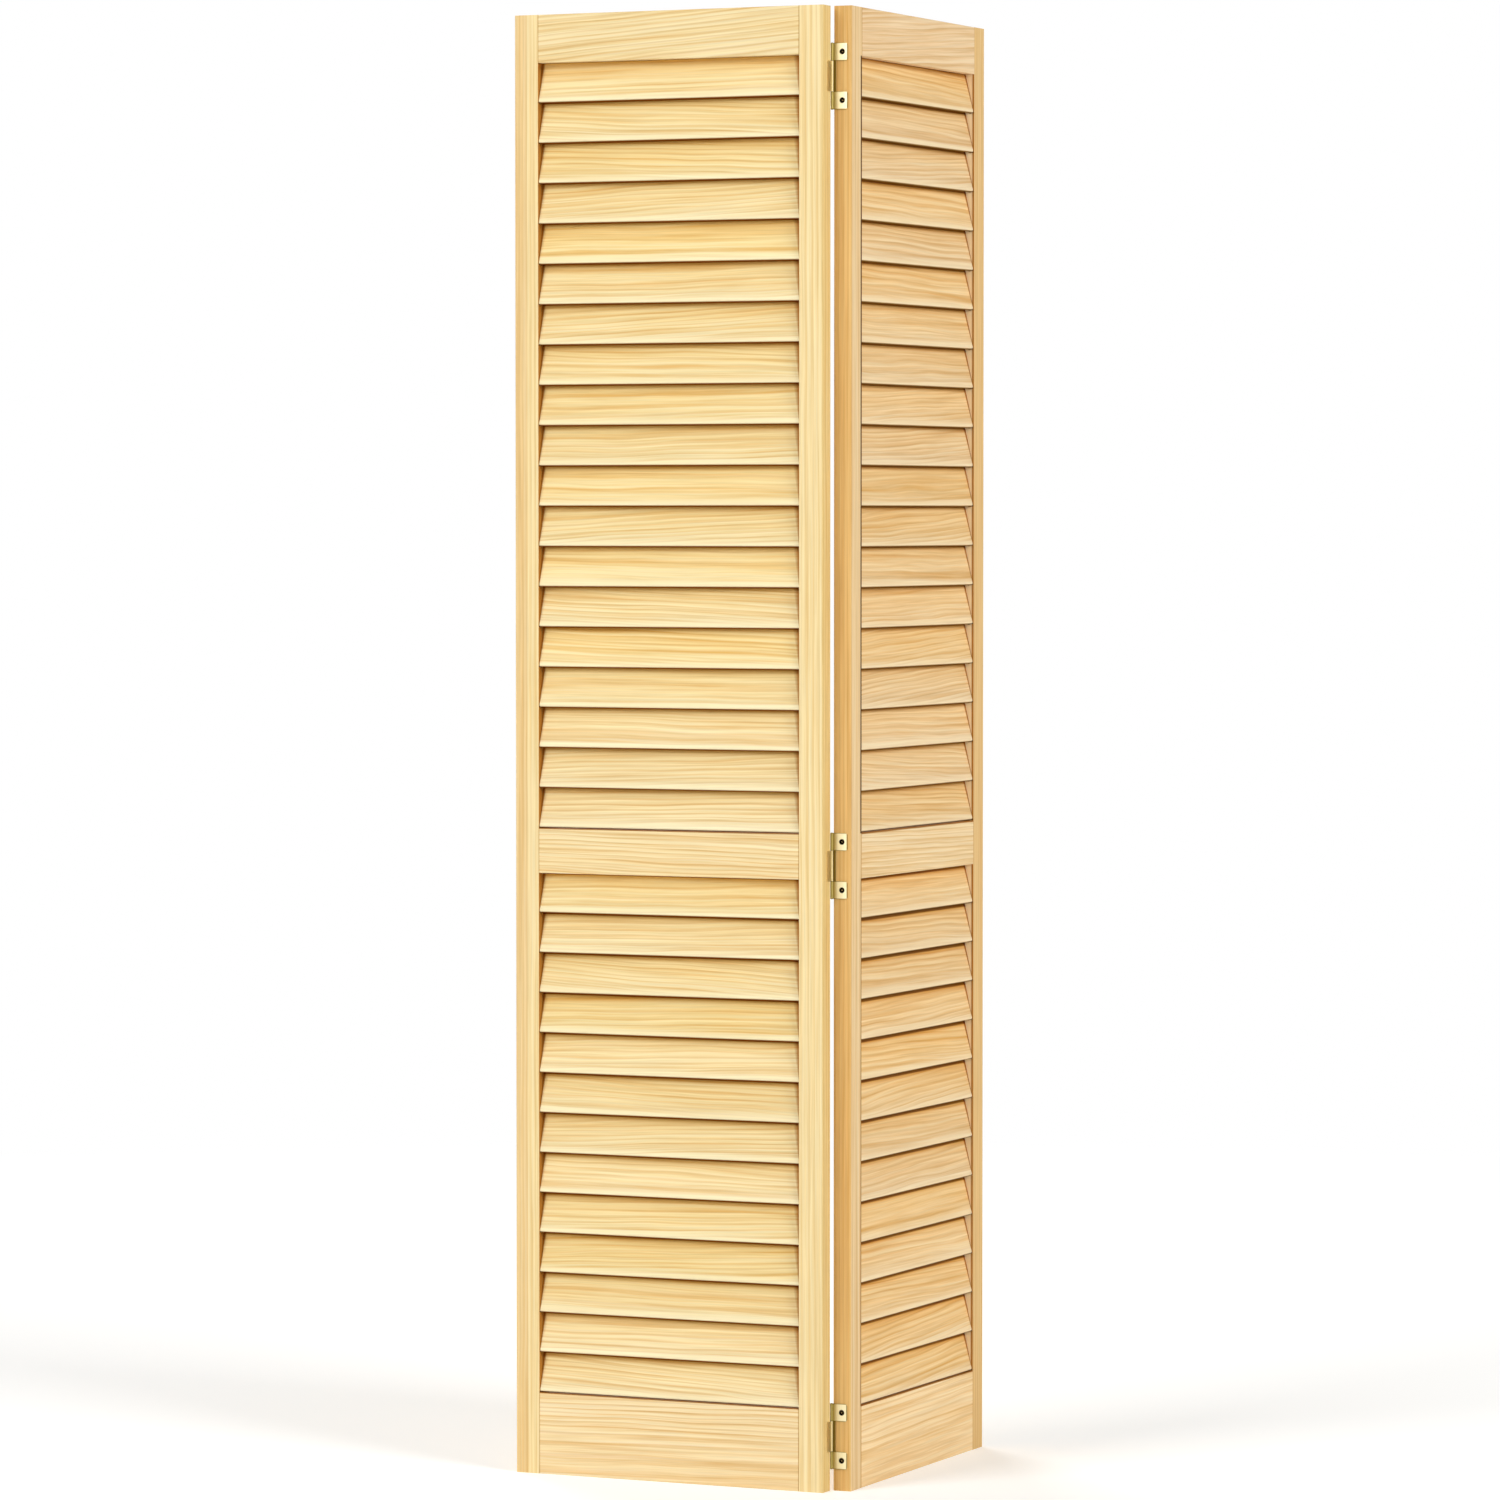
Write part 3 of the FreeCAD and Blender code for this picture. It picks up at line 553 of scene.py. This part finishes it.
def shade_plate(tree, colour, place, plate):
    low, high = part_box(plate)
    tab_end = (high.z - low.z) / 2
    tab_start = tab_end - TAB_HEIGHT
    knuckle_end = pin_axis.x + KNUCKLE_RADIUS
    parts = add_node(tree, "ShaderNodeSeparateXYZ", {"Vector": place})
    height = add_node(tree, "ShaderNodeMath", {
        0: parts.outputs["Z"], 1: (low.z + high.z) / 2}, operation="SUBTRACT")
    from_middle = add_node(tree, "ShaderNodeMath", {0: height.outputs["Value"]}, operation="ABSOLUTE")
    beside = add_node(tree, "ShaderNodeMath", {
        0: parts.outputs["X"], 1: pin_axis.x + OUTER_LINE}, operation="SUBTRACT")
    above = add_node(tree, "ShaderNodeMath", {
        0: from_middle.outputs["Value"], 1: OUTER_SPREAD}, operation="SUBTRACT")
    to_screw = add_node(tree, "ShaderNodeCombineXYZ", {"X": beside.outputs["Value"], "Y": above.outputs["Value"]})
    from_screw = add_node(tree, "ShaderNodeVectorMath", {0: to_screw.outputs["Vector"]}, operation="LENGTH")
    for tint, spot, start, full in (
            (KNUCKLE_SHADE, parts.outputs["X"], knuckle_end + KNUCKLE_FADE, knuckle_end),
            (RING_TINT, from_screw.outputs["Value"], RING_START, RING_FULL),
            (RIM_SHADE, parts.outputs["X"], high.x - RIM, high.x - RIM / 3),
            (RIM_SHADE, from_middle.outputs["Value"], tab_end - RIM, tab_end - RIM / 3),
            (RIM_SHADE, from_middle.outputs["Value"], tab_start + RIM, tab_start + RIM / 3)):
        colour = tint_zone(tree, colour, AGE_AND_SHADE, tint, (spot, start, full))
    return colour


# %% [markdown]
# Rolling leaves faint lines along the strip, upright here. They are finer than a pixel, so they are drawn 1.5 mm wide,
# and they only stir the roughness and the colour a little. The inner plates are a deeper gold and the pins a dull
# olive, partly their own wear and tarnish, partly painted shade of the joint between the leaves where they sit.

# %% Satin brass for the hinges
ROLLING_LINE, LINE_STRETCH = 1.5 * MM, 0.1
BRASS_SMOOTH, BRASS_ROUGH = 0.4, 0.55
BRIGHT = ("#E2D6A8", "#F2EAC8")
# These two darker copies of the brass are partly wear and tarnish, partly painted shade of the hinge joint.
WORN_AND_SHADED = ("#D2BC84", "#E6D4A2")
TARNISHED_AND_SHADED = ("#A89E70", "#CCC398")
HINGES = ("top", "middle", "bottom")


def satin_brass(name, tones, plate=None):
    finish, tree, shader = start_finish(name)
    place = add_node(tree, "ShaderNodeTexCoord")
    stretched = add_node(tree, "ShaderNodeMapping", {
        "Vector": place.outputs["Object"], "Scale": (1, 1, LINE_STRETCH)})
    lines = add_node(tree, "ShaderNodeTexNoise", {
        "Vector": stretched.outputs["Vector"], "Scale": 1 / ROLLING_LINE, "Detail": 2.0})
    mixed = add_node(tree, "ShaderNodeMix", {
        MIX_FACTOR: lines.outputs["Fac"], MIX_FROM: linear(tones[0]), MIX_TO: linear(tones[1])}, data_type="RGBA")
    gloss = add_node(tree, "ShaderNodeMapRange", {
        "Value": lines.outputs["Fac"], "To Min": BRASS_SMOOTH, "To Max": BRASS_ROUGH})
    colour = mixed.outputs[MIX_RESULT]
    if plate:
        colour = shade_plate(tree, colour, place.outputs["Object"], plate)
    tree.links.new(colour, shader.inputs["Base Color"])
    tree.links.new(gloss.outputs["Result"], shader.inputs["Roughness"])
    shader.inputs["Metallic"].default_value = 1.0
    return finish


worn_shaded_brass = satin_brass("worn_shaded_brass_plate", WORN_AND_SHADED)
tarnished_shaded_brass = satin_brass("tarnished_shaded_brass_pin", TARNISHED_AND_SHADED)
for hinge in HINGES:
    outer_plate = hinge + "_hinge_outer_plate"
    put_on(outer_plate, satin_brass("satin_brass_" + outer_plate, BRIGHT, outer_plate))
    put_on(hinge + "_hinge_inner_plate", worn_shaded_brass)
    put_on(hinge + "_hinge_pin", tarnished_shaded_brass)

# %% [markdown]
# ## Hinge screws
# Each hinge is held by four small countersunk screws with a cross recess. A turned screw could be spun from a profile.
# Here a cone is quicker: its wide end is the head, its narrow end is extruded to a tapered shank, the rim of the head
# is beveled, and two crossed bars are cut out of it. One screw is modelled at the origin and then copied to each hole.

# %% Turn a cone into a screw
NECK_RADIUS = 1.6 * MM
HEAD_DEPTH = 2.2 * MM
HEAD_SIDES = 32
SHANK_LENGTH, SHANK_TAPER = 9 * MM, 0.35
HEAD_BEVEL = 0.25 * MM


def select_only(*objects):
    bpy.ops.object.select_all(action="DESELECT")
    for item in objects:
        item.select_set(True)
    bpy.context.view_layer.objects.active = objects[-1]


def select_faces(piece, looks_up):
    bpy.ops.object.mode_set(mode="EDIT")
    bpy.ops.mesh.select_mode(type="FACE")
    bpy.ops.mesh.select_all(action="DESELECT")
    bpy.ops.object.mode_set(mode="OBJECT")
    for face in piece.data.polygons:
        face.select = face.normal.z * looks_up > 0.9
    bpy.ops.object.mode_set(mode="EDIT")


bpy.ops.object.select_all(action="DESELECT")
bpy.ops.mesh.primitive_cone_add(
    vertices=HEAD_SIDES, radius1=NECK_RADIUS, radius2=HEAD_RADIUS, depth=HEAD_DEPTH, location=(0, 0, -HEAD_DEPTH / 2))
screw = bpy.context.object
screw.name = "hinge_screw"
bpy.ops.object.transform_apply(location=True, rotation=True, scale=True)
select_faces(screw, -1)
bpy.ops.mesh.extrude_region_move(TRANSFORM_OT_translate={"value": (0, 0, -SHANK_LENGTH)})
bpy.ops.transform.resize(value=(SHANK_TAPER, SHANK_TAPER, 1))
select_faces(screw, 1)
bpy.ops.mesh.bevel(offset=HEAD_BEVEL, segments=2, affect="EDGES")
bpy.ops.object.mode_set(mode="OBJECT")
print("screw faces before the recess:", len(screw.data.polygons))

# %% Cut the cross recess
RECESS_LENGTH, RECESS_WIDTH, RECESS_DEPTH = 3.4 * MM, 0.8 * MM, 1.1 * MM
SMOOTH_ANGLE = math.radians(35)

bars = []
for turn in (0, math.pi / 2):
    bpy.ops.object.select_all(action="DESELECT")
    bpy.ops.mesh.primitive_cube_add(size=1, rotation=(0, 0, turn))
    bar = bpy.context.object
    bar.scale = (RECESS_LENGTH, RECESS_WIDTH, RECESS_DEPTH * 2)
    bpy.ops.object.transform_apply(location=True, rotation=True, scale=True)
    bars.append(bar)
select_only(screw)
for bar in bars:
    cut = screw.modifiers.new("recess", "BOOLEAN")
    cut.operation = "DIFFERENCE"
    cut.object = bar
    cut.solver = "EXACT"
    bpy.ops.object.modifier_apply(modifier=cut.name)
for bar in bars:
    bpy.data.objects.remove(bar)
select_only(screw)
bpy.ops.object.shade_smooth_by_angle(angle=SMOOTH_ANGLE)
print("screw faces:", len(screw.data.polygons))

# %% [markdown]
# The screws are blackened steel: a thin film of oxide, so almost black, dull, and worn a little browner in spots. The
# film is what shows, not the bare metal, so the shader isn't metallic.

# %% Blackened steel for the screws
WEAR_SPOT = 1.2 * MM
OXIDE, WORN_OXIDE = "#030302", "#0D0A07"
STEEL_SMOOTH, STEEL_ROUGH, STEEL_SHEEN = 0.5, 0.7, 0.02

finish, tree, shader = start_finish("blackened_steel_screw")
place = add_node(tree, "ShaderNodeTexCoord")
wear = add_node(tree, "ShaderNodeTexNoise", {
    "Vector": place.outputs["Object"], "Scale": 1 / WEAR_SPOT, "Detail": 2.0})
colour = add_node(tree, "ShaderNodeMix", {
    MIX_FACTOR: wear.outputs["Fac"], MIX_FROM: linear(OXIDE), MIX_TO: linear(WORN_OXIDE)}, data_type="RGBA")
gloss = add_node(tree, "ShaderNodeMapRange", {
    "Value": wear.outputs["Fac"], "To Min": STEEL_SMOOTH, "To Max": STEEL_ROUGH})
tree.links.new(colour.outputs[MIX_RESULT], shader.inputs["Base Color"])
tree.links.new(gloss.outputs["Result"], shader.inputs["Roughness"])
shader.inputs["Specular IOR Level"].default_value = STEEL_SHEEN
screw.data.materials.append(finish)
print("finish:", finish.name)

# %% [markdown]
# The outer plate lies on the right leaf's edge and looks to the front, and its holes are in the tabs. The inner plate
# lies on the left leaf's edge and looks to the right. Both are laid out from the hinge pin's axis, as the CAD does it.
# Each copy is turned and moved, and then its place is applied to its own mesh, so its object stays at the origin. The
# outer screws are black dots in the pale tabs. The inner ones are brass like their plate, and don't stand out from it.

# %% Lay out the holes
PLATE_FACE = -0.2 * MM
INNER_LINE, INNER_SPREAD = 8.75 * MM, 11 * MM
SINK = 0.15 * MM
OUTER_TURN, INNER_TURN = (90, 25, 0), (0, 90, 0)

holes = []
for hinge in HINGES:
    low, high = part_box(hinge + "_hinge_pin")
    level = (low.z + high.z) / 2
    for end, side in (("_lower", -1), ("_upper", 1)):
        holes.append((hinge + "_hinge_outer_screw" + end, OUTER_TURN, (
            pin_axis.x + OUTER_LINE, pin_axis.y + PLATE_FACE + SINK, level + side * OUTER_SPREAD)))
        holes.append((hinge + "_hinge_inner_screw" + end, INNER_TURN, (
            pin_axis.x - PLATE_FACE - SINK, pin_axis.y - INNER_LINE, level + side * INNER_SPREAD)))
print("holes:", len(holes))

# %% Put a screw in each hole
for name, turn, spot in holes:
    select_only(screw)
    bpy.ops.object.duplicate(linked=False)
    copy = bpy.context.object
    copy.name = name
    copy.rotation_euler = [math.radians(angle) for angle in turn]
    copy.location = spot
    bpy.ops.object.transform_apply(location=True, rotation=True, scale=True)
    if "inner" in name:
        copy.data.materials[0] = worn_shaded_brass
    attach(copy, "root")
bpy.data.objects.remove(screw)
print("screws placed:", len(holes))

# %% [markdown]
# ## Studio
# The door stands on a white floor in soft light: a large lamp from the front left, one from the right, one from behind
# and an even white sky. The sky and the floor look white to the camera by Light Path, so the lamps can stay at a level
# at which the pine keeps its own colour.

# %% A white sky
SKY_LIGHT = 0.22


def seen_rays(tree):
    path = add_node(tree, "ShaderNodeLightPath")
    shiny = add_node(tree, "ShaderNodeMath", {
        0: path.outputs["Is Camera Ray"], 1: path.outputs["Is Glossy Ray"]}, operation="MAXIMUM")
    seen = add_node(tree, "ShaderNodeMath", {
        0: shiny.outputs["Value"], 1: path.outputs["Is Transmission Ray"]}, operation="MAXIMUM")
    return seen.outputs["Value"]


world = bpy.data.worlds.new("studio_sky")
bpy.context.scene.world = world
world.use_nodes = True
tree = world.node_tree
tree.nodes.clear()
level = add_node(tree, "ShaderNodeMapRange", {"Value": seen_rays(tree), "To Min": SKY_LIGHT, "To Max": 1.0})
sky = add_node(tree, "ShaderNodeBackground", {"Color": (1, 1, 1, 1), "Strength": level.outputs["Result"]})
add_node(tree, "ShaderNodeOutputWorld", {"Surface": sky.outputs["Background"]})
print("sky light:", SKY_LIGHT)

# %% [markdown]
# Far from the door the floor fades into the white of the sky. Near the door only a weak glow is added to the matt
# paint, so the floor still shows the door's soft shadow.

# %% A white floor
FLOOR_SIZE = 24
FLOOR_PAINT = "#F4F3F0"
NEAR_GLOW = 0.25
FADE_START, FADE_END = 0.8, 4.5

bpy.ops.object.select_all(action="DESELECT")
bpy.ops.mesh.primitive_plane_add(size=FLOOR_SIZE)
floor = bpy.context.object
floor.name = "studio_floor"
paint = bpy.data.materials.new("white_floor_paint")
paint.use_nodes = True
tree = paint.node_tree
tree.nodes.clear()
seen = seen_rays(tree)
matt = add_node(tree, "ShaderNodeBsdfDiffuse", {"Color": linear(FLOOR_PAINT)})
lift = add_node(tree, "ShaderNodeMath", {0: seen, 1: NEAR_GLOW}, operation="MULTIPLY")
glow = add_node(tree, "ShaderNodeEmission", {"Strength": lift.outputs["Value"]})
near = add_node(tree, "ShaderNodeAddShader", {0: matt.outputs["BSDF"], 1: glow.outputs["Emission"]})
place = add_node(tree, "ShaderNodeTexCoord")
away = add_node(tree, "ShaderNodeVectorMath", {0: place.outputs["Object"]}, operation="LENGTH")
fade = add_node(tree, "ShaderNodeMapRange", {
    "Value": away.outputs["Value"], "From Min": FADE_START, "From Max": FADE_END})
share = add_node(tree, "ShaderNodeMath", {0: seen, 1: fade.outputs["Result"]}, operation="MULTIPLY")
white = add_node(tree, "ShaderNodeEmission", {"Strength": 1.0})
ground = add_node(tree, "ShaderNodeMixShader", {
    0: share.outputs["Value"], 1: near.outputs["Shader"], 2: white.outputs["Emission"]})
add_node(tree, "ShaderNodeOutputMaterial", {"Surface": ground.outputs["Shader"]})
floor.data.materials.append(paint)
print("floor:", FLOOR_SIZE, "m wide, white from", FADE_END, "m")

# %% [markdown]
# The lamps are large, so shadows are soft, and they stand far off, so the light is as strong at the foot of the door as
# at its head. All look at the middle of the door.

# %% Three soft lamps
LAMP_TARGET = Vector((0, 0, 1.0))
LAMPS = (
    ("front_left_lamp", (-8.1, -17.1, 11.4), 9.6, 2550),
    ("right_lamp", (19.4, -6.3, 10.9), 9.2, 3175),
    ("back_lamp", (-13.5, 13.5, 7.0), 9.0, 2590))

for name, spot, size, power in LAMPS:
    lamp_data = bpy.data.lights.new(name, "AREA")
    lamp_data.shape = "RECTANGLE"
    lamp_data.size = lamp_data.size_y = size
    lamp_data.energy = power
    lamp = bpy.data.objects.new(name, lamp_data)
    bpy.context.scene.collection.objects.link(lamp)
    lamp.location = spot
    lamp.rotation_euler = (LAMP_TARGET - lamp.location).to_track_quat("-Z", "Y").to_euler()
    print("lamp", name, "power", power)

# %% [markdown]
# ## Camera
# The door was seen from its front right and from far away, a little above its middle, so upright lines stay almost
# upright. The camera looks down by two degrees, which keeps the door in the middle of the frame from every side.

# %% Set up the camera
CAMERA_SPOT = (3.68874, -8.02076, 1.30448)
LOOK_DOWN, LOOK_ROUND = 2.0935, 24.7215
SENSOR_WIDTH, LENS = 36, 153.848
VIEW_END = 200

camera_data = bpy.data.cameras.new("camera")
camera = bpy.data.objects.new("camera", camera_data)
bpy.context.scene.collection.objects.link(camera)
camera.location = CAMERA_SPOT
camera.rotation_euler = (math.radians(90 - LOOK_DOWN), 0, math.radians(LOOK_ROUND))
camera_data.sensor_width = SENSOR_WIDTH
camera_data.lens = LENS
camera_data.clip_end = VIEW_END
bpy.context.scene.camera = camera
bpy.context.scene.view_settings.view_transform = "Standard"
print("camera at", [round(v, 3) for v in camera.location])
